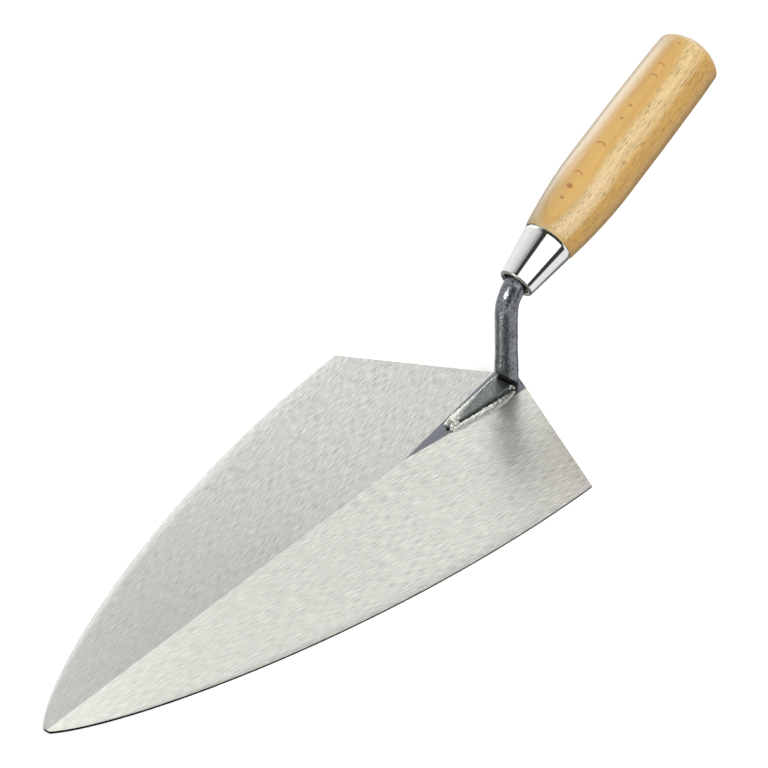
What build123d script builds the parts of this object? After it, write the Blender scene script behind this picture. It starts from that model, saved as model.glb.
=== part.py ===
from build123d import *
import os
from math import cos, radians, sin

# Brick trowel, Philadelphia pattern, 11 x 5.5 inch. Millimetres, +Z up, +X towards the blade's tip.
# The origin is on the blade's flat underside, straight below the axis of the upright shank.

# Blade
HEEL_BEHIND_SHANK = 7.15
BLADE_LENGTH = 280.0
BLADE_WIDTH = 139.0
CORNER_SETBACK = 37.1
BLADE_THICKNESS = 1.6
FACET_FALL = 0.0136
LEAF_HALF_WIDTH = 9.3
LEAF_TAPER = 0.115
LEAF_CURVE = 0.00018
TIP_HALF_WIDTH = 1.6
TIP_RADIUS = 1.3
CORNER_RADIUS = 1.2

# Shank: a round bar, forged out to a flat foot below and drawn to a square tang above
BAR_RADIUS = 4.9
BASE_RADIUS = 5.15
BASE_TOP = 11.0
BASE_FADE_TOP = 17.0
BEND_RADIUS = 14.0
BEND_CORNER_HEIGHT = 46.8
HANDLE_RISE_DEGREES = 24.5
CORNER_TO_FERRULE = 6.65
FOOT_REAR_X = 1.5
FOOT_TOE_X = 32.0
FOOT_REAR_TOP = 3.7
FOOT_TOE_TOP = 2.4
FOOT_REAR_HALF_WIDTH = 4.4
FOOT_TOE_HALF_WIDTH = 1.3
FOOT_FLANK_SPREAD = 1.2
CREVICE_BOTTOM_X = -0.9
CREVICE_BOTTOM_Z = 2.9
CREVICE_SLOPE = 1.1
TANG_START = 8.0
TANG_ROOT_SIDE = 6.8
TANG_TIP_SIDE = 3.0
TANG_LENGTH = 86.0
TANG_POINT = 5.0

# Welds: width on the blade and height on the foot's flank, at the rear and at the toe
LEFT_BEAD_REAR = (1.9, 1.6)
LEFT_BEAD_TOE = (2.1, 1.2)
RIGHT_BEAD_REAR = (3.4, 1.2)
RIGHT_BEAD_TOE = (3.0, 0.8)
BEAD_TOE_X = 36.0
LEFT_BEAD_TOE_OFFSET = 1.6
RIGHT_BEAD_TOE_OFFSET = 1.9
TOE_WELD_X = 35.4
TOE_WELD_RADIUS = 4.5
TOE_WELD_HEIGHT = 1.4

# Ferrule
FERRULE_LENGTH = 23.6
FERRULE_FRONT_RADIUS = 8.0
FERRULE_REAR_RADIUS = 11.5
FERRULE_WALL = 0.9
LIP_RADIUS = 1.0

# Handle, measured along its axis from the ferrule's front plane
HANDLE_LENGTH = 134.6
SHOULDER_RADIUS = 11.7
SHOULDER_SLOPE = 0.16
GRIP_STATIONS = (0.25, 0.5, 0.75)
GRIP_RADII = (14.75, 15.15, 15.05)
BUTT_ROUNDING = 7.2
DOME_RADIUS = 14.45
DOME_SLOPE = -0.06
DOME_PULL = 2.5
TENON_START = 4.4
PILOT_RADIUS = 2.5
PILOT_DEPTH = 101.0

HEEL_X = -HEEL_BEHIND_SHANK
TIP_X = HEEL_X + BLADE_LENGTH


def handle_plane():
    """The handle's own frame: its Z runs up the handle's axis from the ferrule's front plane."""
    rise = radians(HANDLE_RISE_DEGREES)
    axis = Vector(-cos(rise), 0, sin(rise))
    front = Vector(0, 0, BEND_CORNER_HEIGHT) + axis * CORNER_TO_FERRULE
    return Plane(origin=front, x_dir=(sin(rise), 0, cos(rise)), z_dir=axis)


def turned(outline):
    """Revolve a closed outline whose X is a radius and whose Z is a distance along the handle."""
    solid = revolve(outline, axis=Axis.Z)
    return solid.moved(handle_plane().location)


def leaf_half_width(distance):
    """Half width of the unground strip on the ridge, at a distance in front of the heel point."""
    return LEAF_HALF_WIDTH - LEAF_TAPER * distance - LEAF_CURVE * distance**2


def blade_outline():
    """Kite shape: straight heel edges, full side curves and a small rounded tip."""
    half = BLADE_WIDTH / 2
    corner = (HEEL_X + CORNER_SETBACK, half)
    with BuildSketch() as sketch:
        with BuildLine():
            Line((HEEL_X, 0), corner)
            Bezier(
                corner,
                (HEEL_X + 0.55 * BLADE_LENGTH, 0.92 * half),
                (HEEL_X + 0.923 * BLADE_LENGTH, 0.327 * half),
                (TIP_X, TIP_HALF_WIDTH),
            )
            Line((TIP_X, TIP_HALF_WIDTH), (TIP_X, 0))
            mirror(about=Plane.XZ)
        make_face()
        fillet(sketch.vertices().filter_by_position(Axis.X, TIP_X - 1, TIP_X + 1), TIP_RADIUS)
        fillet(sketch.vertices().sort_by(Axis.Y)[0], CORNER_RADIUS)
        fillet(sketch.vertices().sort_by(Axis.Y)[-1], CORNER_RADIUS)
    return sketch.sketch


def ground_side(side):
    """All that grinding leaves on one side of the ridge: a parabola swept outwards and gently down."""
    start, end = -5.0, BLADE_LENGTH + 5.0
    middle = (start + end) / 2

    def height(distance):
        return BLADE_THICKNESS + FACET_FALL * leaf_half_width(distance)

    # The middle control point of a parabola lies where the tangents of its two ends meet
    slope_at_start = -FACET_FALL * (LEAF_TAPER + 2 * LEAF_CURVE * start)
    middle_height = height(start) + slope_at_start * (middle - start)
    below = -5.0
    with BuildSketch(Plane.XZ) as sketch:
        with BuildLine():
            Bezier(
                (HEEL_X + start, height(start)),
                (HEEL_X + middle, middle_height),
                (HEEL_X + end, height(end)),
            )
            Polyline(
                (HEEL_X + end, height(end)),
                (HEEL_X + end, below),
                (HEEL_X + start, below),
                (HEEL_X + start, height(start)),
            )
        make_face()
    return extrude(sketch.sketch, amount=BLADE_WIDTH, dir=(0, side, -FACET_FALL))


def make_blade():
    """Flat below, ground above to two facets, with the strip along the ridge left as rolled."""
    plate = extrude(blade_outline(), amount=BLADE_THICKNESS)
    return plate & (ground_side(1) + ground_side(-1))


def foot_section(z_rear, z_toe, spread):
    """A level or tilted trapezium across the foot, grown by a spread on every side but the rear."""
    rear = FOOT_REAR_HALF_WIDTH + spread
    toe = FOOT_TOE_HALF_WIDTH + spread
    toe_x = FOOT_TOE_X + spread
    points = [(FOOT_REAR_X, -rear, z_rear), (toe_x, -toe, z_toe)]
    points += [(toe_x, toe, z_toe), (FOOT_REAR_X, rear, z_rear)]
    return Face(Wire.make_polygon(points))


def make_foot():
    """The forged triangular foot, with sloping flanks and a top that falls towards the toe."""
    base = foot_section(BLADE_THICKNESS, BLADE_THICKNESS, FOOT_FLANK_SPREAD)
    top = foot_section(FOOT_REAR_TOP, FOOT_TOE_TOP, 0.0)
    return loft([base, top], ruled=True)


def make_neck():
    """The round bar: upright from the blade, a little thicker at its base, bent into the handle."""
    standing = (Align.CENTER, Align.CENTER, Align.MIN)
    plane = handle_plane()
    corner = (0, 0, BEND_CORNER_HEIGHT)
    path = FilletPolyline(
        (0, 0, BASE_TOP), corner, plane.origin + plane.z_dir * TANG_START, radius=BEND_RADIUS
    )
    bar = sweep(Pos(0, 0, BASE_TOP) * Circle(BAR_RADIUS), path=path)
    base = Pos(0, 0, BLADE_THICKNESS) * Cylinder(
        BASE_RADIUS, BASE_TOP - BLADE_THICKNESS, align=standing
    )
    fade = Pos(0, 0, BASE_TOP) * Cone(
        BASE_RADIUS, BAR_RADIUS, BASE_FADE_TOP - BASE_TOP, align=standing
    )
    return bar + base + fade


def make_tang():
    """The square, tapered, pointed end that is driven into the grip."""
    plane = handle_plane()
    end = TANG_START + TANG_LENGTH
    sections = [
        plane.offset(TANG_START) * Rectangle(TANG_ROOT_SIDE, TANG_ROOT_SIDE),
        plane.offset(end) * Rectangle(TANG_TIP_SIDE, TANG_TIP_SIDE),
    ]
    point = [sections[1], Vertex(plane.origin + plane.z_dir * (end + TANG_POINT))]
    return loft(sections, ruled=True) + loft(point, ruled=True)


def make_crevice():
    """The cold fold of the forging: a wedge of air between the foot's rear edge and the bar."""
    front_x = BASE_RADIUS + 1
    foot_fall = (FOOT_REAR_TOP - FOOT_TOE_TOP) / (FOOT_TOE_X - FOOT_REAR_X)
    points = [
        (CREVICE_BOTTOM_X, 0, CREVICE_BOTTOM_Z),
        (FOOT_REAR_X, 0, FOOT_REAR_TOP),
        (front_x, 0, FOOT_REAR_TOP - foot_fall * (front_x - FOOT_REAR_X)),
        (front_x, 0, CREVICE_BOTTOM_Z + CREVICE_SLOPE * (front_x - CREVICE_BOTTOM_X)),
    ]
    wedge = Face(Wire.make_polygon(points))
    return extrude(wedge, amount=BASE_RADIUS + 1, both=True)


def make_shank():
    """Foot, neck and tang in one forging."""
    return make_neck() + make_tang() + make_foot() - make_crevice()


def bead(rear_y, toe_y, rear_size, toe_size):
    """A tapering weld bead along one side of the foot, before the steel is taken away."""
    sections = []
    for x, y, size in ((FOOT_REAR_X, rear_y, rear_size), (BEAD_TOE_X, toe_y, toe_size)):
        across = Plane(origin=(x, y, BLADE_THICKNESS), x_dir=(0, 1, 0), z_dir=(1, 0, 0))
        sections.append(across * Ellipse(*size))
    return loft(sections, ruled=True)


def toe_puddle():
    """A low dome of weld metal over the foot's toe, before the foot is taken away."""
    radius = (TOE_WELD_RADIUS**2 + TOE_WELD_HEIGHT**2) / (2 * TOE_WELD_HEIGHT)
    centre_z = BLADE_THICKNESS + TOE_WELD_HEIGHT - radius
    sphere = Pos(TOE_WELD_X, 0, centre_z) * Sphere(radius)
    return split(sphere, bisect_by=Plane.XY.offset(BLADE_THICKNESS), keep=Keep.TOP)


def ferrule_inner_radius(distance):
    """Radius of the ferrule's conical inner wall, at a distance behind its front plane."""
    slope = (FERRULE_REAR_RADIUS - FERRULE_FRONT_RADIUS) / (FERRULE_LENGTH - LIP_RADIUS)
    return FERRULE_FRONT_RADIUS - FERRULE_WALL + slope * (distance - LIP_RADIUS)


def make_ferrule():
    """A conical sleeve whose front edge is rolled inwards."""
    lip_end = 2 * LIP_RADIUS
    opening = FERRULE_FRONT_RADIUS - lip_end
    with BuildSketch(Plane.XZ) as sketch:
        with BuildLine():
            ThreePointArc(
                (FERRULE_FRONT_RADIUS, LIP_RADIUS),
                (FERRULE_FRONT_RADIUS - LIP_RADIUS, 0),
                (opening, LIP_RADIUS),
            )
            Polyline(
                (opening, LIP_RADIUS),
                (opening, lip_end),
                (ferrule_inner_radius(lip_end), lip_end),
                (ferrule_inner_radius(FERRULE_LENGTH), FERRULE_LENGTH),
                (FERRULE_REAR_RADIUS, FERRULE_LENGTH),
                (FERRULE_FRONT_RADIUS, LIP_RADIUS),
            )
        make_face()
    return turned(sketch.sketch)


def make_grip_blank():
    """The turned wood before it is bored: tenon, shoulder, swelling grip and domed butt."""
    grip_length = HANDLE_LENGTH - FERRULE_LENGTH
    dome_start = HANDLE_LENGTH - BUTT_ROUNDING
    stations = [FERRULE_LENGTH + grip_length * share for share in GRIP_STATIONS]
    swell = [(SHOULDER_RADIUS, FERRULE_LENGTH)]
    swell += list(zip(GRIP_RADII, stations))
    swell += [(DOME_RADIUS, dome_start)]
    with BuildSketch(Plane.XZ) as sketch:
        with BuildLine():
            Polyline(
                (0, HANDLE_LENGTH),
                (0, TENON_START),
                (ferrule_inner_radius(TENON_START), TENON_START),
                (ferrule_inner_radius(FERRULE_LENGTH), FERRULE_LENGTH),
                (SHOULDER_RADIUS, FERRULE_LENGTH),
            )
            Spline(*swell, tangents=[(SHOULDER_SLOPE, 1), (DOME_SLOPE, 1)])
            Bezier(
                (DOME_RADIUS, dome_start),
                (DOME_RADIUS + DOME_SLOPE * DOME_PULL, dome_start + DOME_PULL),
                (DOME_RADIUS * DOME_PULL / BUTT_ROUNDING, HANDLE_LENGTH),
                (0, HANDLE_LENGTH),
            )
        make_face()
    return turned(sketch.sketch)


def make_pilot():
    """The drilled hole that guides the tang, with the drill's conical end."""
    cone_height = PILOT_RADIUS / 2
    drill = Cylinder(PILOT_RADIUS, PILOT_DEPTH, align=(Align.CENTER, Align.CENTER, Align.MIN))
    drill += Pos(0, 0, PILOT_DEPTH) * Cone(
        PILOT_RADIUS, 0, cone_height, align=(Align.CENTER, Align.CENTER, Align.MIN)
    )
    return drill.moved(handle_plane().location)


def main():
    blade = make_blade()
    shank = make_shank()
    flank_y = FOOT_REAR_HALF_WIDTH + FOOT_FLANK_SPREAD
    left = bead(-flank_y, -LEFT_BEAD_TOE_OFFSET, LEFT_BEAD_REAR, LEFT_BEAD_TOE)
    right = bead(flank_y, RIGHT_BEAD_TOE_OFFSET, RIGHT_BEAD_REAR, RIGHT_BEAD_TOE)
    puddle = toe_puddle() - shank
    parts = {
        "blade": blade,
        "shank": shank,
        "weld_toe": puddle,
        "weld_left": left - blade - shank - puddle,
        "weld_right": right - blade - shank - puddle,
        "ferrule": make_ferrule(),
        "handle": make_grip_blank() - shank - make_pilot(),
    }
    os.makedirs("parts", exist_ok=True)
    for name, part in parts.items():
        part.label = name
        export_step(part, f"parts/{name}.step")


main()
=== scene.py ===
from math import atan, cos, pi, radians, sin, sqrt, tan

import bmesh
import bpy
import numpy as np
from mathutils import Matrix, Vector, noise


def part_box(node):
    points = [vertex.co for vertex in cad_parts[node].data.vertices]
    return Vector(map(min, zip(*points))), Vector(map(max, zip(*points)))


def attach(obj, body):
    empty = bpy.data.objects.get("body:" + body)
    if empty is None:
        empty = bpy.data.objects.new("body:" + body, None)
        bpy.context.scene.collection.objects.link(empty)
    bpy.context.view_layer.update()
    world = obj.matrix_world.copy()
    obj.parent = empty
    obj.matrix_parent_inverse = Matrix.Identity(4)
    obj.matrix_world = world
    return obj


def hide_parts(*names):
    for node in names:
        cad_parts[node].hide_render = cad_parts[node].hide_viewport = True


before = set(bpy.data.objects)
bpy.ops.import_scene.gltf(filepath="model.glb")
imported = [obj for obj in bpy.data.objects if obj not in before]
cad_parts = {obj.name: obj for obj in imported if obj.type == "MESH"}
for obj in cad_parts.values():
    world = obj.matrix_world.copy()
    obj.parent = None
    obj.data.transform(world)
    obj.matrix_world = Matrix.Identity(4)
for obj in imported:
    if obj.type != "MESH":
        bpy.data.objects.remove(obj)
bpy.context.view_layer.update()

# Sizes are in millimetres and become metres where a mesh or a light is made.
MM = 0.001

# Blade: the same kite as the CAD blade, with softened edges
BLADE_LOW, BLADE_HIGH = (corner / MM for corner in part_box("blade"))
HEEL_X = BLADE_LOW.x
TIP_X = BLADE_HIGH.x
BLADE_LENGTH = TIP_X - HEEL_X
HALF_WIDTH = 69.5
CORNER_X = HEEL_X + 37.1
CORNER_RADIUS = 1.2
TIP_HALF_WIDTH = 1.6
TIP_RADIUS = 1.3
THICKNESS = 1.6
FACET_FALL = 0.0136
EDGE_ROUNDING = 0.12
UNDERSIDE_TOP = 2 * EDGE_ROUNDING
STREAK_DEGREES = 11.0

# The unground leaf on the ridge: its half width at the heel point, its taper and its curve
LEAF = (9.3, 0.115, 0.00018)
RIDGE_START = 72.0

# Shank and handle
HANDLE_RISE = radians(24.5)
BEND_CORNER_HEIGHT = 46.8
CORNER_TO_FERRULE = 6.65
FERRULE_LENGTH = 23.6
FERRULE_RADII = (8.0, 11.5)
FERRULE_WALL = 0.9
LIP_RADIUS = 1.0
TURN_IN_LENGTH = 1.5
TURN_IN_DEPTH = 0.38
HANDLE_LENGTH = 134.6

HANDLE_AXIS = Vector((-cos(HANDLE_RISE), 0, sin(HANDLE_RISE)))
HANDLE_UP = Vector((sin(HANDLE_RISE), 0, cos(HANDLE_RISE)))
SIDE = Vector((0, 1, 0))
HANDLE_FRONT = Vector((0, 0, BEND_CORNER_HEIGHT)) + HANDLE_AXIS * CORNER_TO_FERRULE


def placing(axes, place):
    """The matrix that turns X, Y and Z to three axes and moves the origin to a place in metres."""
    matrix = Matrix.Identity(4)
    for column, axis in enumerate(axes):
        for row in range(3):
            matrix[row][column] = axis[row]
    matrix.translation = place
    return matrix


def handle_matrix():
    """Places a mesh whose Z runs up the handle from the ferrule's front plane."""
    return placing((HANDLE_UP, SIDE, HANDLE_AXIS), HANDLE_FRONT * MM)


# Mesh helpers


def make_object(name, mesh, materials):
    """A new object in the scene, smooth shaded, with its materials in order."""
    piece = bpy.data.objects.new(name, mesh)
    bpy.context.scene.collection.objects.link(piece)
    for material in materials:
        mesh.materials.append(material)
    mesh.shade_smooth()
    return piece


def settle(piece, node):
    """The piece rides on the one body and stands in for a CAD node, which it hides."""
    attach(piece, "root")
    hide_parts(node)
    return piece


def lathe(name, profile, segments, materials, matrix):
    """Turns a closed outline of (radius, distance) points about the local Z axis."""
    mesh_builder = bmesh.new()
    rings = []
    for radius, along in profile:
        if radius == 0:
            rings.append([mesh_builder.verts.new((0, 0, along * MM))])
            continue
        ring = []
        for k in range(segments):
            turn = 2 * pi * k / segments
            x, y = radius * cos(turn), radius * sin(turn)
            ring.append(mesh_builder.verts.new((x * MM, y * MM, along * MM)))
        rings.append(ring)
    for lower, upper in zip(rings, rings[1:] + rings[:1]):
        if len(lower) == 1 and len(upper) == 1:
            continue
        for k in range(segments):
            after = (k + 1) % segments
            corners = []
            for ring, index in ((lower, k), (lower, after), (upper, after), (upper, k)):
                vertex = ring[index % len(ring)]
                if vertex not in corners:
                    corners.append(vertex)
            mesh_builder.faces.new(corners)
    bmesh.ops.recalc_face_normals(mesh_builder, faces=mesh_builder.faces)
    bmesh.ops.transform(mesh_builder, matrix=matrix, verts=mesh_builder.verts)
    mesh = bpy.data.meshes.new(name)
    mesh_builder.to_mesh(mesh)
    mesh_builder.free()
    return make_object(name, mesh, materials)


def evaluated_mesh(piece):
    """The piece's mesh with its modifiers applied."""
    graph = bpy.context.evaluated_depsgraph_get()
    return bpy.data.meshes.new_from_object(piece.evaluated_get(graph))


def remeshed(name, source_mesh, voxel, smoothing):
    """One clean skin over a mesh, with every edge softened."""
    rough = bpy.data.objects.new(name + "_rough", source_mesh)
    bpy.context.scene.collection.objects.link(rough)
    remesh = rough.modifiers.new("skin", "REMESH")
    remesh.mode = "VOXEL"
    remesh.voxel_size = voxel * MM
    smooth = rough.modifiers.new("soften", "SMOOTH")
    smooth.factor = 0.5
    smooth.iterations = smoothing
    mesh = evaluated_mesh(rough)
    mesh.name = name
    bpy.data.objects.remove(rough)
    return mesh


def roughen(mesh, layers, seed, where=None):
    """Moves each vertex along its normal by layers of (size, height) noise, in millimetres."""
    normals = [v.normal.copy() for v in mesh.vertices]
    offset = Vector((seed * 7.1, seed * 3.7, seed * 1.9))
    for vertex, normal in zip(mesh.vertices, normals):
        point = vertex.co / MM
        share = 1.0 if where is None else where(point)
        if share == 0:
            continue
        lift = sum(height * noise.noise(point / size + offset) for size, height in layers)
        vertex.co = vertex.co + normal * lift * share * MM
    mesh.update()


# Shader helpers


class Shader:
    """Short calls that add nodes to one material. Each returns the socket that holds its result."""

    def __init__(self, name, on_handle=False):
        self.material = bpy.data.materials.new(name)
        self.material.use_nodes = True
        self.tree = self.material.node_tree
        self.surface = self.tree.nodes["Principled BSDF"]
        self.place = self.add("ShaderNodeTexCoord").outputs["Object"]
        if on_handle:
            self.place = self.in_handle_frame(self.place)

    def in_handle_frame(self, place):
        """The place with Z measured up the handle's axis from the ferrule's front plane."""
        inputs = {0: place, 1: tuple(HANDLE_FRONT * MM)}
        behind = self.add("ShaderNodeVectorMath", inputs, operation="SUBTRACT").outputs[0]
        parts = []
        for axis in (HANDLE_UP, SIDE, HANDLE_AXIS):
            dot = self.add("ShaderNodeVectorMath", {0: behind, 1: tuple(axis)}, operation="DOT_PRODUCT")
            parts.append(dot.outputs["Value"])
        return self.together(*parts)

    def add(self, kind, inputs=(), **settings):
        node = self.tree.nodes.new(kind)
        for key, value in settings.items():
            setattr(node, key, value)
        for socket, value in dict(inputs).items():
            self.put(node.inputs[socket], value)
        return node

    def put(self, socket, value):
        if isinstance(value, bpy.types.NodeSocket):
            self.tree.links.new(value, socket)
        else:
            socket.default_value = value

    def set(self, **values):
        """Fills the surface shader's sockets: base_color is its Base Color."""
        for key, value in values.items():
            self.put(self.surface.inputs[key.replace("_", " ").title().replace("Ior", "IOR")], value)

    def math(self, operation, first, second=0.0, third=0.0, clamp=False):
        inputs = {0: first, 1: second, 2: third}
        return self.add("ShaderNodeMath", inputs, operation=operation, use_clamp=clamp).outputs[0]

    def apart(self, vector=None):
        """The X, Y and Z of a vector, or of the place on the object in millimetres."""
        if vector is None:
            vector = self.scaled((1 / MM, 1 / MM, 1 / MM))
        return self.add("ShaderNodeSeparateXYZ", {0: vector}).outputs[:]

    def together(self, x, y, z):
        return self.add("ShaderNodeCombineXYZ", {0: x, 1: y, 2: z}).outputs[0]

    def scaled(self, factors, vector=None):
        inputs = {0: vector or self.place, 1: factors}
        return self.add("ShaderNodeVectorMath", inputs, operation="MULTIPLY").outputs[0]

    def noise(self, vector, detail=2.0, rough=0.5):
        inputs = {"Vector": vector, "Scale": 1.0, "Detail": detail, "Roughness": rough}
        return self.add("ShaderNodeTexNoise", inputs).outputs["Fac"]

    def grain(self, sizes, **settings):
        """Noise whose features have these sizes along X, Y and Z, in millimetres."""
        return self.noise(self.scaled([1 / (size * MM) for size in sizes]), **settings)

    def span(self, value, low, high, to_low=0.0, to_high=1.0, smooth=True):
        inputs = {"Value": value, "From Min": low, "From Max": high, "To Min": to_low, "To Max": to_high}
        kind = "SMOOTHSTEP" if smooth else "LINEAR"
        return self.add("ShaderNodeMapRange", inputs, interpolation_type=kind).outputs["Result"]

    def mix(self, factor, first, second, blend="MIX"):
        node = self.add("ShaderNodeMix", data_type="RGBA", blend_type=blend)
        for socket, value in ((node.inputs[0], factor), (node.inputs[6], first), (node.inputs[7], second)):
            self.put(socket, value)
        return node.outputs[2]

    def bands(self, value, stops):
        """Colours at given values of a socket, blended between."""
        low, high = stops[0][0], stops[-1][0]
        node = self.add("ShaderNodeValToRGB", {0: self.span(value, low, high, smooth=False)})
        ramp = node.color_ramp
        while len(ramp.elements) < len(stops):
            ramp.elements.new(0.5)
        for element, (position, colour) in zip(ramp.elements, stops):
            element.position = (position - low) / (high - low)
            element.color = colour
        return node.outputs["Color"]

    def tint(self, colour, factor):
        """A colour brightened or darkened by a factor socket."""
        grey = self.together(factor, factor, factor)
        return self.mix(1.0, colour, grey, "MULTIPLY")

    def bump(self, height, distance, strength=1.0):
        inputs = {"Height": height, "Distance": distance * MM, "Strength": strength}
        return self.add("ShaderNodeBump", inputs).outputs["Normal"]


def rgb(red, green, blue):
    """A display colour, 0 to 255, as the linear colour that a shader takes."""
    shares = [channel / 255 for channel in (red, green, blue)]
    linear = [s / 12.92 if s <= 0.04045 else ((s + 0.055) / 1.055) ** 2.4 for s in shares]
    return (*linear, 1.0)


# Materials


# Facet and leaf colours: each facet's at the heel and further on, and the leaf's darkest and lightest. The
# facets' colours are painted light: the left facet painted darker than the right, and both painted darker
# away from the heel where the light falls off.
LEFT_FACET_PAINTED_LIGHT = ((0.500, 0.494, 0.470, 1.0), (0.340, 0.336, 0.320, 1.0))
RIGHT_FACET_PAINTED_LIGHT = ((0.650, 0.647, 0.604, 1.0), (0.612, 0.609, 0.568, 1.0))
LEAF_COLOURS = ((0.140, 0.147, 0.170, 1.0), (0.195, 0.200, 0.225, 1.0))


def grinding(s, x, across, side):
    """Streaks that lean away from the ridge: the fine ones, the broad ones, soft clouds, and their tone."""
    turn = radians(STREAK_DEGREES)
    along = s.math("SUBTRACT", s.math("MULTIPLY", x, cos(turn)), s.math("MULTIPLY", across, sin(turn)))
    over = s.math("ADD", s.math("MULTIPLY", x, sin(turn)), s.math("MULTIPLY", across, cos(turn)))
    layer = s.math("MULTIPLY", side, 31.0)

    def streaks(length, width, **settings):
        place = s.together(s.math("DIVIDE", along, length), s.math("DIVIDE", over, width), layer)
        return s.noise(place, **settings)

    fine = streaks(5.0, 0.42, detail=1.0)
    broad = streaks(10.0, 0.75, detail=2.0)
    sweep = streaks(60.0, 9.0, detail=2.0)
    cloud = s.grain((14.0, 14.0, 14.0), detail=3.0)
    tone = s.math("MULTIPLY_ADD", fine, 1.26, 0.37)
    for share, pattern in ((0.38, broad), (0.08, sweep), (0.06, cloud)):
        tone = s.math("ADD", tone, s.math("MULTIPLY_ADD", pattern, share, -share / 2))
    contrast = s.span(x, 40.0, 220.0, 1.05, 0.66)
    tone = s.math("MULTIPLY_ADD", s.math("SUBTRACT", tone, 1.0), contrast, 1.0)
    return fine, broad, cloud, tone


def leaf_mask(s, x, across, on_top):
    """1 on the unground leaf, with a slightly wandering edge."""
    distance = s.math("SUBTRACT", x, HEEL_X)
    curve = s.math("MULTIPLY_ADD", distance, -LEAF[2], -LEAF[1])
    leaf_edge = s.math("MULTIPLY_ADD", distance, curve, LEAF[0])
    inside = s.math("SUBTRACT", leaf_edge, across)
    wander = s.math("MULTIPLY_ADD", s.grain((1.5, 1.5, 1.5)), 0.5, -0.25)
    return s.math("MULTIPLY", s.span(s.math("ADD", inside, wander), -0.15, 0.15), on_top)


def ground_steel():
    """Belt-ground satin steel: mirrored streaks on the two facets, one way below, and the leaf. The facets
    carry painted light.
    """
    s = Shader("ground_steel")
    x, y, z = s.apart()
    on_top = s.math("GREATER_THAN", z, UNDERSIDE_TOP)
    side = s.math("MAXIMUM", s.math("GREATER_THAN", y, 0.0), s.math("SUBTRACT", 1.0, on_top))
    across = s.math("MULTIPLY", y, s.math("MULTIPLY_ADD", side, 2.0, -1.0))
    fine, broad, cloud, tone = grinding(s, x, across, side)
    # Painted light: the left facet darker than the right, and both darker away from the heel. The right
    # facet is also a little lighter towards its edge.
    left = s.mix(s.span(x, 20.0, 240.0), *LEFT_FACET_PAINTED_LIGHT)
    right = s.mix(s.span(x, 20.0, 70.0), *RIGHT_FACET_PAINTED_LIGHT)
    right = s.tint(right, s.span(across, 8.0, 60.0, 1.0, 1.06))
    ground = s.tint(s.mix(side, left, right), tone)

    leaf = leaf_mask(s, x, across, on_top)
    leaf_colour = s.mix(s.grain((3.0, 3.0, 3.0), detail=4.0, rough=0.6), *LEAF_COLOURS)
    s.set(base_color=s.mix(leaf, ground, leaf_colour), metallic=1.0, anisotropic=0.45)
    roughness = s.math("ADD", s.math("MULTIPLY_ADD", fine, 0.14, 0.27), s.math("MULTIPLY", cloud, 0.06))
    s.set(roughness=roughness)
    turn = radians(STREAK_DEGREES)
    lean = s.math("MULTIPLY_ADD", side, 2 * sin(turn), -sin(turn))
    s.set(tangent=s.together(lean, cos(turn), 0.0))
    height = s.math("ADD", s.math("MULTIPLY", fine, 0.7), s.math("MULTIPLY", broad, 0.5))
    height = s.math("MULTIPLY", height, s.math("MULTIPLY_ADD", leaf, -0.85, 1.0))
    s.set(normal=s.bump(height, 0.010, 0.6))
    return s.material


def sheared_edge():
    """The blade's cut edge: matt and near black, with slightly paler rubbed spots."""
    s = Shader("sheared_edge")
    speck = s.grain((1.2, 1.2, 0.5), detail=3.0)
    worn = s.span(speck, 0.58, 0.72)
    s.set(base_color=s.mix(worn, rgb(6, 6, 6), rgb(34, 34, 32)), metallic=0.0)
    s.set(roughness=s.span(speck, 0.3, 0.7, 0.6, 0.45), specular_ior_level=0.06)
    s.set(normal=s.bump(s.grain((0.4, 0.4, 2.0)), 0.03, 0.5))
    return s.material


# The foot, as the masks of its painted shade see it: half width at X = 0, the taper for each millimetre
# forward, its height at the flanks' upper corner, and the slope and height of the notch between it and the
# neck
FOOT_HALF_WIDTH = 4.98
FOOT_TAPER = 0.1016
FLANK_TOP = 3.8
NOTCH_SLOPE = 1.1
NOTCH_HEIGHT = 3.9


def foot_shade(s, place, foot, mottle):
    """Painted shade: how black the notch behind the foot is painted, and how black the foot's right flank
    is painted as a dark reflection.
    """
    x, y, z = place
    flank = s.span(s.math("MULTIPLY_ADD", x, FOOT_TAPER, y), FOOT_HALF_WIDTH - 0.24, FOOT_HALF_WIDTH)
    flank = s.math("MULTIPLY", flank, s.math("MULTIPLY", foot, s.span(z, FLANK_TOP, FLANK_TOP - 0.3)))
    fold = s.math("SUBTRACT", z, s.math("MULTIPLY_ADD", x, NOTCH_SLOPE, NOTCH_HEIGHT))
    fold = s.math("MULTIPLY", s.span(fold, 1.3, 0.4), s.span(x, -1.5, -0.5))
    fold = s.math("MULTIPLY", fold, s.span(z, 3.6, 4.1))
    step = s.math("MULTIPLY", s.span(x, 1.8, 1.2), s.span(x, -2.0, -1.2))
    step = s.math("MULTIPLY", step, s.span(z, 4.7, 4.0))
    notch = s.math("MAXIMUM", fold, step)
    return s.math("MAXIMUM", s.math("MULTIPLY", flank, s.span(mottle, 0.35, 0.6, 0.92, 0.6)), notch)


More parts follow.
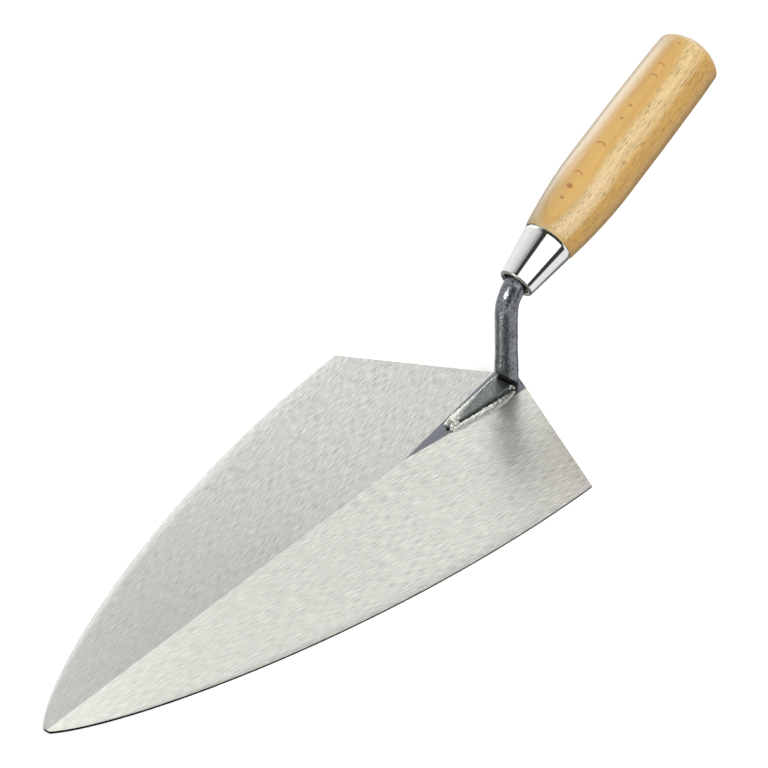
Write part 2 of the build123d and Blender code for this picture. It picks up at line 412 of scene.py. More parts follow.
def forged_steel():
    """Lacquered forging: a glossy, mottled, blue-grey neck on a duller, greener foot, with painted shade in
    the notch between them and a painted dark reflection on the foot's right flank.
    """
    s = Shader("forged_steel")
    mottle = s.grain((0.55, 0.55, 0.8), detail=3.0, rough=0.65)
    patch = s.grain((3.5, 3.5, 5.0), detail=2.0)
    tone = s.math("ADD", s.math("MULTIPLY", mottle, 0.75), s.math("MULTIPLY", patch, 0.25))
    x, y, z = s.apart()
    foot = s.math("MULTIPLY", s.span(z, 4.6, 3.2), s.span(x, 0.5, 2.5))
    bar_colour = s.mix(s.span(tone, 0.32, 0.68), rgb(48, 52, 56), rgb(146, 151, 157))
    foot_colour = s.mix(s.span(tone, 0.35, 0.65), rgb(96, 102, 98), rgb(136, 143, 138))
    colour = s.mix(foot, bar_colour, foot_colour)
    # Painted shade in the notch and a painted dark reflection on the foot's right flank, both near black.
    shade = foot_shade(s, (x, y, z), foot, mottle)
    s.set(base_color=s.mix(shade, colour, rgb(12, 13, 16)), metallic=0.85)
    gloss = s.span(tone, 0.3, 0.7, 0.34, 0.18)
    s.set(roughness=s.math("MULTIPLY_ADD", foot, 0.22, gloss))
    s.set(coat_weight=s.math("MULTIPLY_ADD", foot, -0.4, 0.6), coat_roughness=0.13)
    s.set(normal=s.bump(mottle, 0.08, 0.5))
    return s.material


# The painted shade of the one pit at the toe of the weld, a near-black disc on a flat drop: its place on
# the blade and its radius
TOE_PIT_SHADE = (39.6, 1.0)
TOE_PIT_SHADE_RADIUS = 1.25


def weld_steel():
    """Bright weld metal, wire-brushed, with small dark spots, and painted shade in the one pit at the toe.
    """
    s = Shader("weld_steel")
    ripple = s.grain((0.35, 0.35, 0.35), detail=3.0, rough=0.7)
    dark_spots_and_pit_shade = s.span(s.grain((0.5, 0.5, 0.5), detail=2.0), 0.36, 0.27)
    bright = s.mix(ripple, rgb(162, 166, 159), rgb(238, 240, 230))
    x, y = s.apart()[:2]
    from_pit_shade = s.together(s.math("SUBTRACT", x, TOE_PIT_SHADE[0]), s.math("SUBTRACT", y, TOE_PIT_SHADE[1]), 0.0)
    reach = s.add("ShaderNodeVectorMath", {0: from_pit_shade}, operation="LENGTH").outputs["Value"]
    # Painted shade: the toe's pit painted near black.
    dark_spots_and_pit_shade = s.math("MAXIMUM", dark_spots_and_pit_shade, s.span(reach, TOE_PIT_SHADE_RADIUS, TOE_PIT_SHADE_RADIUS - 0.4))
    s.set(base_color=s.mix(dark_spots_and_pit_shade, bright, rgb(14, 14, 15)), metallic=0.95)
    s.set(roughness=s.span(ripple, 0.3, 0.7, 0.42, 0.26))
    s.set(normal=s.bump(ripple, 0.12, 0.8))
    return s.material


def chrome():
    """Bright plating over a drawn sleeve: faint draw lines, haze, a duller lip with a painted dark
    reflection, and a painted dark reflection along the rear rim on its -Y side.
    """
    s = Shader("chrome", on_handle=True)
    y, z = s.apart()[1:]
    draw = s.grain((0.5, 0.5, 9.0), detail=2.0)
    haze = s.grain((5.0, 5.0, 5.0), detail=3.0)
    plate = s.mix(haze, (0.76, 0.77, 0.76, 1.0), (0.84, 0.84, 0.83, 1.0))
    rim = FERRULE_LENGTH - TURN_IN_LENGTH
    # Painted dark reflection: the rear rim darkened on its -Y side.
    rim_painted_reflection = s.math("MULTIPLY", s.span(z, rim - 0.1, rim + 0.3), s.span(y, -1.0, -3.0))
    plate = s.mix(rim_painted_reflection, plate, (0.15, 0.15, 0.14, 1.0))
    # Painted dark reflection: the lip's colour darkened towards the front edge.
    lip = s.span(z, 0.95, 0.45)
    s.set(base_color=s.mix(lip, plate, (0.27, 0.27, 0.235, 1.0)), metallic=1.0)
    s.set(roughness=s.math("MULTIPLY_ADD", haze, 0.05, s.math("MULTIPLY_ADD", lip, 0.15, 0.07)))
    s.set(normal=s.bump(draw, 0.0012, 0.35))
    return s.material


# Small brown marks on the flat-sawn band: distance behind the ferrule's front, offset, size, filled in
GRAIN_MARKS = (
    (38.5, 0.0, 1.1, True),
    (44.5, -0.2, 1.8, True),
    (50.5, -0.3, 2.0, False),
    (66.5, 0.0, 2.2, False),
    (82.0, 0.4, 0.9, True),
    (89.0, 0.1, 1.0, True),
    (105.5, 0.2, 1.6, False),
    (111.5, -0.2, 1.7, False),
    (125.0, 0.3, 0.7, True),
)

# The wood's colours by distance from the pith, which lies outside the grip, and the two distances at
# which rows of pores run. The colours are growth rings with painted light: the pale band lies where the
# lacquer shows its highlights, and the deeper bands are painted shade down the grip's sides
WOOD_BANDS_WITH_PAINTED_LIGHT = (
    (36.0, rgb(200, 157, 90)),
    (43.0, rgb(212, 167, 88)),
    (46.5, rgb(214, 168, 91)),
    (48.6, rgb(216, 174, 104)),
    (49.8, rgb(234, 206, 150)),
    (52.1, rgb(234, 206, 148)),
    (52.6, rgb(229, 185, 106)),
    (54.0, rgb(228, 182, 102)),
)
PORE_ROWS = (52.3, 49.3)
PITH_DISTANCE = 38.0
BAND_DEGREES = 4.4
RING_PITCH = 2.3


def grain_marks(s, x, y, z):
    """How strongly any of the brown marks covers a place, from 0 to 1."""
    turn = radians(BAND_DEGREES)
    lateral = s.math("SUBTRACT", s.math("MULTIPLY", y, cos(turn)), s.math("MULTIPLY", x, sin(turn)))
    outside = s.math("GREATER_THAN", x, 0.0)
    total = None
    for along, offset, size, filled in GRAIN_MARKS:
        a = s.math("DIVIDE", s.math("SUBTRACT", lateral, offset), size)
        b = s.math("DIVIDE", s.math("SUBTRACT", z, along), size * 0.75)
        reach = s.math("SQRT", s.math("ADD", s.math("MULTIPLY", a, a), s.math("MULTIPLY", b, b)))
        if filled:
            mark = s.span(reach, 1.1, 0.5)
        else:
            rim = s.span(s.math("ABSOLUTE", s.math("SUBTRACT", reach, 1.0)), 0.30, 0.08)
            mark = s.math("MULTIPLY", rim, s.span(b, 0.1, 0.7))
        total = mark if total is None else s.math("MAXIMUM", total, mark)
    return s.math("MULTIPLY", total, outside)


def pith_depth(s, x, y, z):
    """Distance from the pith, swaying along the grain and bowed near the ferrule."""
    turn = radians(BAND_DEGREES)
    sway = s.math("MULTIPLY_ADD", s.grain((12.0, 12.0, 60.0), detail=2.0), 1.6, -0.8)
    px = s.math("ADD", x, PITH_DISTANCE * cos(turn))
    py = s.math("ADD", y, PITH_DISTANCE * sin(turn))
    far = s.math("SQRT", s.math("ADD", s.math("MULTIPLY", px, px), s.math("MULTIPLY", py, py)))
    bow = s.span(z, 72.0, 22.0, 0.0, 2.4)
    return s.math("ADD", s.math("ADD", far, sway), bow)


def pores(s, y, depth):
    """Short dark pores: scattered over the quarter-sawn side, and crowded in rows."""
    pore = s.span(s.grain((0.27, 0.27, 4.0), detail=1.0), 0.575, 0.665)
    crowd = s.span(s.grain((3.0, 3.0, 16.0), detail=2.0), 0.38, 0.60)
    crowd = s.math("MULTIPLY_ADD", crowd, 0.6, 0.45)
    for row_depth in PORE_ROWS:
        row = s.span(s.math("ABSOLUTE", s.math("SUBTRACT", depth, row_depth)), 0.5, 0.1, 0.0, 1.4)
        crowd = s.math("MAXIMUM", crowd, row)
    off_band = s.span(depth, 52.6, 52.0)
    pore = s.math("MULTIPLY", pore, s.math("MULTIPLY", crowd, s.math("MULTIPLY_ADD", off_band, 0.85, 0.15)))
    return s.math("MULTIPLY", pore, s.span(y, 0.5, 4.0, 0.25, 0.8), clamp=True)


def beech():
    """Lacquered beech: growth rings about a far pith that also carry painted light, fine fibres, short dark
    pores, brown marks, and painted shade inside the ferrule.
    """
    s = Shader("lacquered_beech", on_handle=True)
    x, y, z = s.apart()
    depth = pith_depth(s, x, y, z)
    phase = s.math("FRACT", s.math("DIVIDE", depth, RING_PITCH))
    late = s.math("MULTIPLY", s.span(phase, 0.25, 0.85), s.span(phase, 1.0, 0.94))
    fibre = s.grain((0.45, 0.45, 26.0), detail=2.0)
    figure = s.grain((4.0, 4.0, 45.0), detail=2.0)
    tone = s.math("MULTIPLY_ADD", fibre, 0.16, 0.92)
    tone = s.math("ADD", tone, s.math("MULTIPLY_ADD", figure, 0.16, -0.08))
    dark_pores = pores(s, y, depth)
    marks = grain_marks(s, x, y, z)
    # Painted shade: the wood just inside the ferrule painted near black.
    painted_shade_in_ferrule = s.span(z, 12.0, 9.0)

    # Ring colours: growth rings, with a painted highlight in the pale band and painted shade in the deeper
    # bands.
    colour = s.bands(depth, WOOD_BANDS_WITH_PAINTED_LIGHT)
    colour = s.mix(s.math("MULTIPLY", late, 0.30), colour, rgb(200, 146, 72))
    colour = s.tint(colour, tone)
    colour = s.mix(dark_pores, colour, rgb(134, 88, 38))
    colour = s.mix(s.math("MULTIPLY", marks, 0.85), colour, rgb(188, 110, 56))
    colour = s.mix(painted_shade_in_ferrule, colour, rgb(12, 10, 8))
    s.set(base_color=colour, roughness=s.math("MULTIPLY_ADD", fibre, 0.12, 0.36), ior=1.5)
    s.set(coat_weight=0.45, coat_roughness=0.18)
    s.set(normal=s.bump(s.math("SUBTRACT", fibre, dark_pores), 0.03, 0.35))
    return s.material


def studio_floor():
    """A nearly white, matt floor with a slight glow."""
    s = Shader("studio_floor")
    speck = s.grain((60.0, 60.0, 60.0), detail=3.0)
    s.set(base_color=s.mix(speck, (0.90, 0.90, 0.90, 1.0), (0.93, 0.93, 0.93, 1.0)), roughness=0.9)
    s.set(specular_ior_level=0.1, emission_color=(1.0, 1.0, 1.0, 1.0), emission_strength=0.46)
    return s.material


def black_card():
    """Black with a very faint glow, so that the bars it draws in the metal aren't quite empty."""
    s = Shader("black_card")
    s.set(base_color=(0.004, 0.004, 0.004, 1.0), roughness=1.0, specular_ior_level=0.0)
    s.set(emission_color=(1.0, 1.0, 0.92, 1.0), emission_strength=0.045)
    return s.material


# Blade


def bezier(points, share):
    """A point on a cubic curve."""
    a, b, c, d = points
    rest = 1 - share
    return a * rest**3 + b * 3 * rest**2 * share + c * 3 * rest * share**2 + d * share**3


def rounded_corner(before, corner, after, radius, count):
    """Points of the arc that softens a corner between two straight directions."""
    first = (before - corner).normalized()
    second = (after - corner).normalized()
    opening = first.angle(second)
    reach = radius / sin(opening / 2)
    centre = corner + (first + second).normalized() * reach
    start = corner + first * sqrt(reach**2 - radius**2) - centre
    end = corner + second * sqrt(reach**2 - radius**2) - centre
    points = []
    for k in range(count + 1):
        share = k / count
        points.append(centre + (start * (1 - share) + end * share).normalized() * radius)
    return points


def half_outline():
    """The blade's +Y side from the heel point to the tip, as points in order of X."""
    heel = Vector((HEEL_X, 0))
    corner = Vector((CORNER_X, HALF_WIDTH))
    tip = Vector((TIP_X, TIP_HALF_WIDTH))
    curve = [
        corner,
        Vector((HEEL_X + 0.55 * BLADE_LENGTH, 0.92 * HALF_WIDTH)),
        Vector((HEEL_X + 0.923 * BLADE_LENGTH, 0.327 * HALF_WIDTH)),
        tip,
    ]
    heel_arc = rounded_corner(heel, corner, curve[1], CORNER_RADIUS, 8)
    tip_arc = rounded_corner(curve[2], tip, Vector((TIP_X, 0)), TIP_RADIUS, 8)
    points = [heel.lerp(heel_arc[0], k / 36) for k in range(36)]
    points += heel_arc
    points += [bezier(curve, 0.006 + 0.988 * (k / 150)) for k in range(151)]
    points += tip_arc
    return points


def leaf_reach(x):
    """Half width of the strip on the ridge that grinding leaves, and below zero ahead of the strip."""
    distance = x - HEEL_X
    return LEAF[0] - LEAF[1] * distance - LEAF[2] * distance**2


def top_height(x, y):
    """The ground face: level on the leaf, falling gently outside it, with a trace of unevenness."""
    level = min(0.0, FACET_FALL * (leaf_reach(x) - abs(y)))
    wave = 0.012 * noise.noise(Vector((x / 26, y / 15, 0.5)))
    return THICKNESS + level + wave


def blade_face(builder, rows, height):
    """A grid over the outline: inner columns follow the leaf, outer ones the ground facets."""
    inner, outer = 3, 12
    grid = []
    for x, half in rows:
        leaf = min(max(0.0, leaf_reach(x)), half)
        offsets = [leaf * k / inner for k in range(inner + 1)]
        offsets += [leaf + (half - leaf) * k / outer for k in range(1, outer + 1)]
        ys = [-offset for offset in reversed(offsets[1:])] + offsets
        grid.append([builder.verts.new((x, y, height(x, y))) for y in ys])
    for before, after in zip(grid, grid[1:]):
        for k in range(len(before) - 1):
            builder.faces.new((before[k], after[k], after[k + 1], before[k + 1]))
    return grid


def outline_rows():
    """Each station along the blade as (x, half width), with x always growing."""
    rows = [(p.x, max(p.y, 1e-4)) for p in half_outline()]
    for k in range(1, len(rows)):
        if rows[k][0] <= rows[k - 1][0]:
            rows[k] = (rows[k - 1][0] + 1e-4, rows[k][1])
    return rows


def rounded_edge(edge):
    """Loops of places that carry the blade's edge round from its top face to its underside."""
    inward = []
    for k in range(len(edge)):
        ahead = edge[(k + 2) % len(edge)] - edge[k - 2]
        inward.append(Vector((-ahead.y, ahead.x, 0)).normalized() * -1)
    rings = []
    for share in (0.0, 0.3, 0.62, 1.0):
        turn = share * pi / 2
        inset, drop = EDGE_ROUNDING * (1 - sin(turn)), EDGE_ROUNDING * (1 - cos(turn))
        rings.append([place + way * inset - Vector((0, 0, drop)) for place, way in zip(edge, inward)])
    for share in (1.0, 0.5, 0.0):
        turn = share * pi / 2
        inset, lift = EDGE_ROUNDING * (1 - sin(turn)), EDGE_ROUNDING * (1 - cos(turn))
        rings.append([Vector((p.x, p.y, lift)) + way * inset for p, way in zip(edge, inward)])
    return rings


def blade():
    """Two facets, a leaf on the ridge, a flat underside and a thin edge all round."""
    builder = bmesh.new()
    rows = outline_rows()
    border = []
    for height in (top_height, lambda x, y: 0.0):
        grid = blade_face(builder, rows, height)
        border.append([row[-1] for row in grid] + [row[0] for row in reversed(grid)])
    top, under = border
    rings = rounded_edge([vertex.co.copy() for vertex in top])
    for vertex, place in zip(top, rings[0]):
        vertex.co = place
    for vertex, place in zip(under, rings[-1]):
        vertex.co = place
    loops = [top]
    loops += [[builder.verts.new(place) for place in ring] for ring in rings[1:-1]]
    loops.append(under)
    for upper, lower in zip(loops, loops[1:]):
        for k in range(len(top)):
            after = (k + 1) % len(top)
            face = builder.faces.new((upper[k], upper[after], lower[after], lower[k]))
            face.material_index = 1
    bmesh.ops.remove_doubles(builder, verts=builder.verts, dist=2e-4)
    bmesh.ops.recalc_face_normals(builder, faces=builder.faces)
    bmesh.ops.scale(builder, vec=(MM, MM, MM), verts=builder.verts)
    mesh = bpy.data.meshes.new("blade_ground")
    builder.to_mesh(mesh)
    builder.free()
    piece = make_object("blade_ground", mesh, [ground_steel(), sheared_edge()])
    for edge in mesh.edges:
        ends = [mesh.vertices[k].co / MM for k in edge.vertices]
        on_ridge = all(abs(p.y) < 1e-3 and p.z > THICKNESS / 2 for p in ends)
        edge.use_edge_sharp = on_ridge and min(p.x for p in ends) > HEEL_X + RIDGE_START
    return settle(piece, "blade")


# Shank and welds


# Noise on the forging and on the welds, as layers of (size, height)
FORGING_ROUGHNESS = ((4.0, 0.10), (1.4, 0.07), (0.6, 0.04))
WELD_ROUGHNESS = ((1.1, 0.16), (0.45, 0.10))
SMOOTH_TANG_FROM_Z = 55


def shank():
    """The forging, skinned over the CAD shank so that every edge is a hammered one."""
    mesh = remeshed("shank_forging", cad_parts["shank"].data.copy(), 0.30, 5)
    roughen(mesh, FORGING_ROUGHNESS, 1, lambda p: 1.0 if p.z < SMOOTH_TANG_FROM_Z else 0.0)
    mesh.materials.clear()
    piece = make_object("shank_forging", mesh, [forged_steel()])
    return settle(piece, "shank")


def lumps(name, blobs, voxel, seed):
    """Weld metal: many flattened drops melted into one skin. A blob is (place, (rx, ry, rz))."""
    builder = bmesh.new()
    for place, radii in blobs:
        matrix = Matrix.Translation(Vector(place)) @ Matrix.Diagonal((*radii, 1.0))
        bmesh.ops.create_icosphere(builder, subdivisions=3, radius=1.0, matrix=matrix)
    bmesh.ops.scale(builder, vec=(MM, MM, MM), verts=builder.verts)
    source = bpy.data.meshes.new(name)
    builder.to_mesh(source)
    builder.free()
    mesh = remeshed(name, source, voxel, 3)
    roughen(mesh, WELD_ROUGHNESS, seed)
    return mesh


def row_of_drops(stations, pitch, seed):
    """Overlapping drops along stations of ((x, y, z), (half length, half width, height))."""
    places = [Vector(place) for place, size in stations]
    sizes = [Vector(size) for place, size in stations]
    blobs = []
    for k in range(len(stations) - 1):
        run = (places[k + 1] - places[k]).length
        count = max(1, round(run / pitch))
        for step in range(count):
            share = step / count
            jitter = noise.noise_vector(Vector((k * 9.1 + step * 0.73, seed * 5.0, 0.0)))
            place = places[k].lerp(places[k + 1], share) + Vector((0, 0.22 * jitter.y, 0.12 * jitter.z))
            size = sizes[k].lerp(sizes[k + 1], share) * (1 + 0.2 * jitter.x)
            blobs.append((place, size))
    return blobs


# Stations along each bead and single drops: the place, then the half length, half width and height
RIGHT_BEAD = (
    ((3.0, 6.2, 1.5), (1.0, 1.2, 0.7)),
    ((10.0, 6.5, 1.5), (1.1, 2.1, 0.9)),
    ((18.5, 5.9, 1.5), (1.1, 2.3, 0.9)),
    ((28.0, 4.7, 1.5), (1.1, 2.0, 0.9)),
    ((38.8, 3.2, 1.4), (1.1, 1.2, 0.8)),
)
LEFT_BEAD_LOW = (
    ((2.0, -5.9, 1.6), (0.8, 0.5, 0.6)),
    ((20.0, -4.1, 1.6), (0.8, 0.6, 0.7)),
    ((35.0, -2.6, 1.6), (0.9, 0.8, 0.8)),
)
LEFT_BEAD_HIGH = (
    ((1.8, -4.7, 3.3), (0.8, 0.4, 0.5)),
    ((14.0, -3.7, 2.9), (0.8, 0.6, 0.6)),
    ((22.0, -2.6, 2.5), (0.9, 1.0, 0.7)),
    ((31.5, -1.2, 2.2), (0.9, 1.5, 0.7)),
    ((34.0, -0.9, 2.0), (0.9, 1.5, 0.7)),
)
TOE_DROPS = (
    ((33.4, -0.3, 2.1), (1.5, 1.8, 1.1)),
    ((35.4, -1.7, 1.8), (1.5, 1.4, 1.2)),
    ((37.6, -1.3, 1.8), (1.2, 1.0, 1.1)),
    ((36.2, 0.9, 1.5), (1.5, 1.4, 0.9)),
    ((34.3, 1.9, 1.6), (1.5, 1.1, 1.0)),
    ((38.7, 2.6, 1.6), (1.0, 1.0, 1.0)),
    ((31.6, 0.4, 2.4), (0.9, 0.8, 0.7)),
    # A flat drop at the toe that carries the weld's painted pit shade.
    ((39.5, 0.9, 1.5), (1.2, 1.1, 0.45)),
)
CORNER_DROPS = (
    ((2.2, 4.3, 3.5), (0.7, 0.6, 0.5)),
    ((3.3, 4.7, 3.0), (0.8, 0.5, 0.6)),
    ((1.6, 5.2, 2.5), (0.7, 0.6, 0.6)),
)


def welds():
    """Two side beads and the puddle of drops at the foot's toe."""
    steel = weld_steel()
    left = row_of_drops(LEFT_BEAD_LOW, 0.9, 2) + row_of_drops(LEFT_BEAD_HIGH, 0.9, 5)
    right = row_of_drops(RIGHT_BEAD, 1.0, 3) + list(CORNER_DROPS)
    rows = (
        ("weld_bead_left", "weld_left", left),
        ("weld_bead_right", "weld_right", right),
        ("weld_drops_toe", "weld_toe", TOE_DROPS),
    )
    for seed, (name, node, blobs) in enumerate(rows):
        mesh = lumps(name, blobs, 0.14, seed + 2)
        settle(make_object(name, mesh, [steel]), node)


# Ferrule and grip


def ferrule():
    """A drawn cone: rolled lip in front, edge turned in behind."""
    front, rear = FERRULE_RADII
    lip = LIP_RADIUS
    slope = (rear - front) / (FERRULE_LENGTH - lip)
    profile = []
    for k in range(13):
        turn = pi - pi * k / 12 * (1 + atan(slope) / pi)
        profile.append((front - lip + lip * cos(turn), lip - lip * sin(turn)))
    straight = FERRULE_LENGTH - TURN_IN_LENGTH
    for k in range(1, 25):
        along = lip + (straight - lip) * k / 24
        profile.append((front + slope * (along - lip), along))
    for k in range(1, 9):
        share = k / 8
        along = straight + TURN_IN_LENGTH * share
        profile.append((front + slope * (along - lip) - TURN_IN_DEPTH * share**1.3, along))
    profile.append((rear - FERRULE_WALL, FERRULE_LENGTH))
    profile.append((front - FERRULE_WALL, 2 * lip))
    profile.append((front - 2 * lip, 2 * lip))
    piece = lathe("ferrule_sleeve", profile, 192, [chrome()], handle_matrix())
    piece.data.set_sharp_from_angle(angle=radians(38))
    return settle(piece, "ferrule")


# The grip's radius at even shares of its length, its slope at both ends, and its shaped ends
GRIP_RADII = (11.7, 14.75, 15.15, 15.05, 14.45)
GRIP_END_SLOPES = (0.16, -0.06)
BUTT_ROUNDING = 7.2
DOME_PULL = 2.5
SHOULDER_ROUNDING = 0.28
TENON_START = 4.4
TENON = ((0, TENON_START), (7.5, TENON_START), (10.4, FERRULE_LENGTH - 0.2), (11.2, FERRULE_LENGTH))


def swelling_curve():
    """The grip's radius at many shares of its length: one cubic between each pair of stations."""
    spans = len(GRIP_RADII) - 1
    stations = np.linspace(0, 1, spans + 1)
    radii = np.array(GRIP_RADII)
    slopes = np.gradient(radii, stations)
    for end, slope in zip((0, -1), GRIP_END_SLOPES):
        slopes[end] = slope * (HANDLE_LENGTH - FERRULE_LENGTH - BUTT_ROUNDING)
    curve = []
    for share in np.linspace(0, 1, 81):
        k = min(int(share * spans), spans - 1)
        width = stations[k + 1] - stations[k]
        t = (share - stations[k]) / width
        radius = radii[k] * (2 * t**3 - 3 * t**2 + 1)
        radius += slopes[k] * width * (t**3 - 2 * t**2 + t)
        radius += radii[k + 1] * (3 * t**2 - 2 * t**3)
        radius += slopes[k + 1] * width * (t**3 - t**2)
        curve.append((share, radius))
    return curve


def butt_dome(start):
    """Points of the domed butt, from where the grip's side ends to just before its axis."""
    edge = GRIP_RADII[-1]
    curve = [
        Vector((edge, start)),
        Vector((edge + GRIP_END_SLOPES[1] * DOME_PULL, start + DOME_PULL)),
        Vector((edge * DOME_PULL / BUTT_ROUNDING, HANDLE_LENGTH)),
        Vector((0, HANDLE_LENGTH)),
    ]
    return [tuple(bezier(curve, k / 24)) for k in range(1, 24)]


def grip():
    """Turned beech: tenon in the ferrule, softened shoulder, swelling grip and domed butt."""
    dome_start = HANDLE_LENGTH - BUTT_ROUNDING
    profile = list(TENON)
    for share, radius in swelling_curve():
        along = FERRULE_LENGTH + (dome_start - FERRULE_LENGTH) * share
        softened = SHOULDER_ROUNDING * max(0.0, 1 - (along - FERRULE_LENGTH)) ** 2
        profile.append((radius - softened, along + 0.02))
    profile += butt_dome(dome_start)
    profile.append((0, HANDLE_LENGTH))
    piece = lathe("grip_beech", profile, 144, [beech()], handle_matrix())
    piece.data.set_sharp_from_angle(angle=radians(50))
    return settle(piece, "handle")


# Studio


def card(name, centre, along, over, half_along, half_over, material):
    """A flat card that only reflections and shadows see."""
    corners = []
    for a, b in ((-1, -1), (1, -1), (1, 1), (-1, 1)):
        corners.append(centre + along * half_along * a + over * half_over * b)
    mesh = bpy.data.meshes.new(name)
    mesh.from_pydata([tuple(corner) for corner in corners], [], [(0, 1, 2, 3)])
    piece = make_object(name, mesh, [material])
    piece.visible_camera = False
    return piece


def around_handle(angle, along=0.0):
    """A direction square to the handle's axis, turned from its upper side towards +Y, then leaned."""
    return (HANDLE_UP * cos(angle) + SIDE * sin(angle) + HANDLE_AXIS * along).normalized()


# What a lamp turns off, so that it only lights matt surfaces or only shows in shiny ones
DIFFUSE_ONLY = ("visible_glossy",)
GLOSS_ONLY = ("visible_diffuse",)

STRIP_ANGLE = radians(50.3)
SOFTBOX_DISTANCE = 0.9

# Each softbox: its turn round the handle, half spread, leans, power and what it turns off
SOFTBOXES = (
    ("strip_softbox", STRIP_ANGLE, radians(38.8), (-0.07, 0.43), 3.2, ()),
    ("left_softbox", radians(-74), radians(26), (0.31, 0.62), 2.9, GLOSS_ONLY),
)

# Each black flag: its distance, the turns in degrees that it reaches between, and its leans
FLAGS = (
    ("flag_behind", 0.96, (-8, 112), (-0.17, 0.95)),
    ("flag_camera", 0.97, (14, 70), (-1.20, -0.13)),
)

# Each panel: its place, what it faces, its size, its power and what it turns off
KEY_PLACE = HANDLE_FRONT * MM + around_handle(radians(45), 0.1) * 0.85
PANELS = (
    ("key_panel", KEY_PLACE, HANDLE_FRONT * MM, 0.5, 2.3, DIFFUSE_ONLY),
    ("top_panel", (0.0, 0.0, 1.6), (0.0, 0.0, 0.0), 1.6, 21.0, DIFFUSE_ONLY),
    ("right_panel", (-0.05, 0.80, 0.25), (0.0, 0.0, 0.08), 0.5, 1.9, DIFFUSE_ONLY),
    ("back_panel", (-0.62, -0.62, 0.62), (0.05, -0.02, 0.0), 0.55, 0.50, ()),
    ("front_panel", (1.0, -0.20, 0.66), (0.0, 0.0, 0.04), 0.50, 5.0, GLOSS_ONLY),
)


def area_lamp(name, shape, size, power, unseen):
    """An area lamp that the camera doesn't see, with what else it turns off. Its caller places it."""
    data = bpy.data.lights.new(name, "AREA")
    data.shape = shape
    data.size = size
    data.energy = power
    lamp = bpy.data.objects.new(name, data)
    bpy.context.scene.collection.objects.link(lamp)
    for kind in ("visible_camera", *unseen):
        setattr(lamp, kind, False)
    return lamp


def softbox(name, angle, half_spread, leans, power, unseen):
    """A flat softbox square to the handle: how far it spreads round, and between which leans."""
    lamp = area_lamp(name, "RECTANGLE", 2 * SOFTBOX_DISTANCE * tan(half_spread), power, unseen)
    lamp.data.size_y = SOFTBOX_DISTANCE * (leans[1] - leans[0])
    square = around_handle(angle)
    along = around_handle(angle + pi / 2)
    lean = (leans[0] + leans[1]) / 2
    place = HANDLE_FRONT * MM + (square + HANDLE_AXIS * lean) * SOFTBOX_DISTANCE
    lamp.matrix_world = placing((along, square.cross(along), square), place)


def panel(name, centre, target, size, power, unseen):
    """A square soft panel that faces a target."""
    lamp = area_lamp(name, "SQUARE", size, power, unseen)
    lamp.location = centre
    lamp.rotation_euler = (Vector(target) - Vector(centre)).to_track_quat("-Z", "Y").to_euler()


def flags():
    """Black cards behind the strip softbox and round the camera, which draw the dark bars in the metal."""
    square = around_handle(STRIP_ANGLE)
    along = around_handle(STRIP_ANGLE + pi / 2)
    black = black_card()
    for name, away, (top, foot), (front, rear) in FLAGS:
        start = tan(radians(top) - STRIP_ANGLE)
        end = tan(radians(foot) - STRIP_ANGLE)
        across = along * (start + end) / 2 + HANDLE_AXIS * (front + rear) / 2
        centre = HANDLE_FRONT * MM + (square + across) * away
        half_along, half_over = (end - start) / 2 * away, (rear - front) / 2 * away
        card(name, centre, along, HANDLE_AXIS, half_along, half_over, black)


# The surround's brightness by the height of a direction, from straight down to straight up
SURROUND = (
    (-1.00, 0.20),
    (-0.92, 0.40),
    (-0.86, 0.66),
    (-0.80, 0.78),
    (-0.60, 0.84),
    (0.05, 0.84),
    (0.22, 0.90),
    (0.57, 0.80),
    (0.82, 0.66),
    (0.90, 0.38),
    (0.96, 0.05),
)
SURROUND_STRENGTH = 1.15

# The dim spot: its direction, the cosines at its rim and where it is full, and the brightness at each
DIM_SPOT = (-0.70, 0.02, -0.71)
DIM_SPOT_RAMP = (0.91, 0.975, 1.0, 0.22)


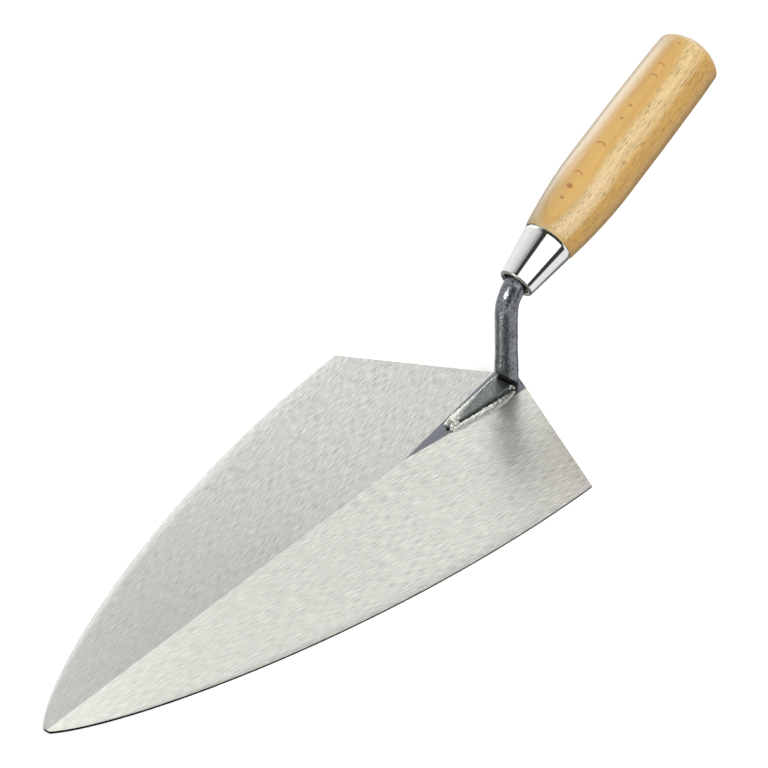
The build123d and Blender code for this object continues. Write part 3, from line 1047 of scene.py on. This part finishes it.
def surround():
    """Pale all round, fading to a dark ceiling, with a dim spot below and behind the handle."""
    world = bpy.data.worlds.new("studio")
    bpy.context.scene.world = world
    world.use_nodes = True
    tree = world.node_tree
    place = tree.nodes.new("ShaderNodeTexCoord").outputs["Generated"]
    split = tree.nodes.new("ShaderNodeSeparateXYZ")
    height = tree.nodes.new("ShaderNodeMapRange")
    ramp = tree.nodes.new("ShaderNodeValToRGB")
    height.inputs["From Min"].default_value = -1.0
    tree.links.new(place, split.inputs[0])
    tree.links.new(split.outputs["Z"], height.inputs["Value"])
    tree.links.new(height.outputs["Result"], ramp.inputs[0])
    while len(ramp.color_ramp.elements) < len(SURROUND):
        ramp.color_ramp.elements.new(0.5)
    for element, (position, level) in zip(ramp.color_ramp.elements, SURROUND):
        element.position = (position + 1) / 2
        element.color = (level, level, level, 1.0)
    toward = tree.nodes.new("ShaderNodeVectorMath")
    toward.operation = "DOT_PRODUCT"
    toward.inputs[1].default_value = DIM_SPOT
    dim = tree.nodes.new("ShaderNodeMapRange")
    dim.interpolation_type = "SMOOTHSTEP"
    for key, value in zip(("From Min", "From Max", "To Min", "To Max"), DIM_SPOT_RAMP):
        dim.inputs[key].default_value = value
    scale = tree.nodes.new("ShaderNodeVectorMath")
    scale.operation = "SCALE"
    tree.links.new(place, toward.inputs[0])
    tree.links.new(toward.outputs["Value"], dim.inputs["Value"])
    tree.links.new(ramp.outputs["Color"], scale.inputs[0])
    tree.links.new(dim.outputs["Result"], scale.inputs["Scale"])
    tree.links.new(scale.outputs[0], tree.nodes["Background"].inputs["Color"])
    tree.nodes["Background"].inputs["Strength"].default_value = SURROUND_STRENGTH
    world.cycles_visibility.diffuse = False


# The floor's reach each way and its drop below the blade's underside, in metres
FLOOR_REACH = 6.0
FLOOR_DROP = 0.0002


def floor():
    """A pale floor for the camera and for shadows. Reflections come from the surround instead."""
    signs = ((-1, -1), (1, -1), (1, 1), (-1, 1))
    corners = [(a * FLOOR_REACH, b * FLOOR_REACH, 0) for a, b in signs]
    mesh = bpy.data.meshes.new("floor")
    mesh.from_pydata(corners, [], [(0, 1, 2, 3)])
    piece = make_object("floor", mesh, [studio_floor()])
    piece.location.z = -FLOOR_DROP
    piece.visible_diffuse = False
    piece.visible_glossy = False


def studio():
    """Pale floor and surround, two softboxes, two black flags, and soft panels all round."""
    floor()
    surround()
    for row in SOFTBOXES:
        softbox(*row)
    flags()
    for row in PANELS:
        panel(*row)


CAMERA_PLACE = Vector((0.90246, 0.74097, 0.90723))
CAMERA_TARGET = Vector((0.03218, -0.04039, 0.00075))
CAMERA_ROLL = radians(-1.774)
CAMERA_LENS = 164.34


def camera():
    """A long lens from the front right, about 38 degrees above the floor."""
    data = bpy.data.cameras.new("camera")
    data.lens = CAMERA_LENS
    data.sensor_width = 36.0
    data.clip_start = 0.05
    data.clip_end = 50.0
    eye = bpy.data.objects.new("camera", data)
    bpy.context.scene.collection.objects.link(eye)
    forward = (CAMERA_TARGET - CAMERA_PLACE).normalized()
    level_right = forward.cross(Vector((0, 0, 1))).normalized()
    level_up = level_right.cross(forward)
    right = level_right * cos(CAMERA_ROLL) + level_up * sin(CAMERA_ROLL)
    up = right.cross(forward)
    eye.matrix_world = placing((right, up, -forward), CAMERA_PLACE)
    bpy.context.scene.camera = eye


bpy.context.scene.view_settings.view_transform = "Standard"
camera()
studio()
blade()
shank()
welds()
ferrule()
grip()
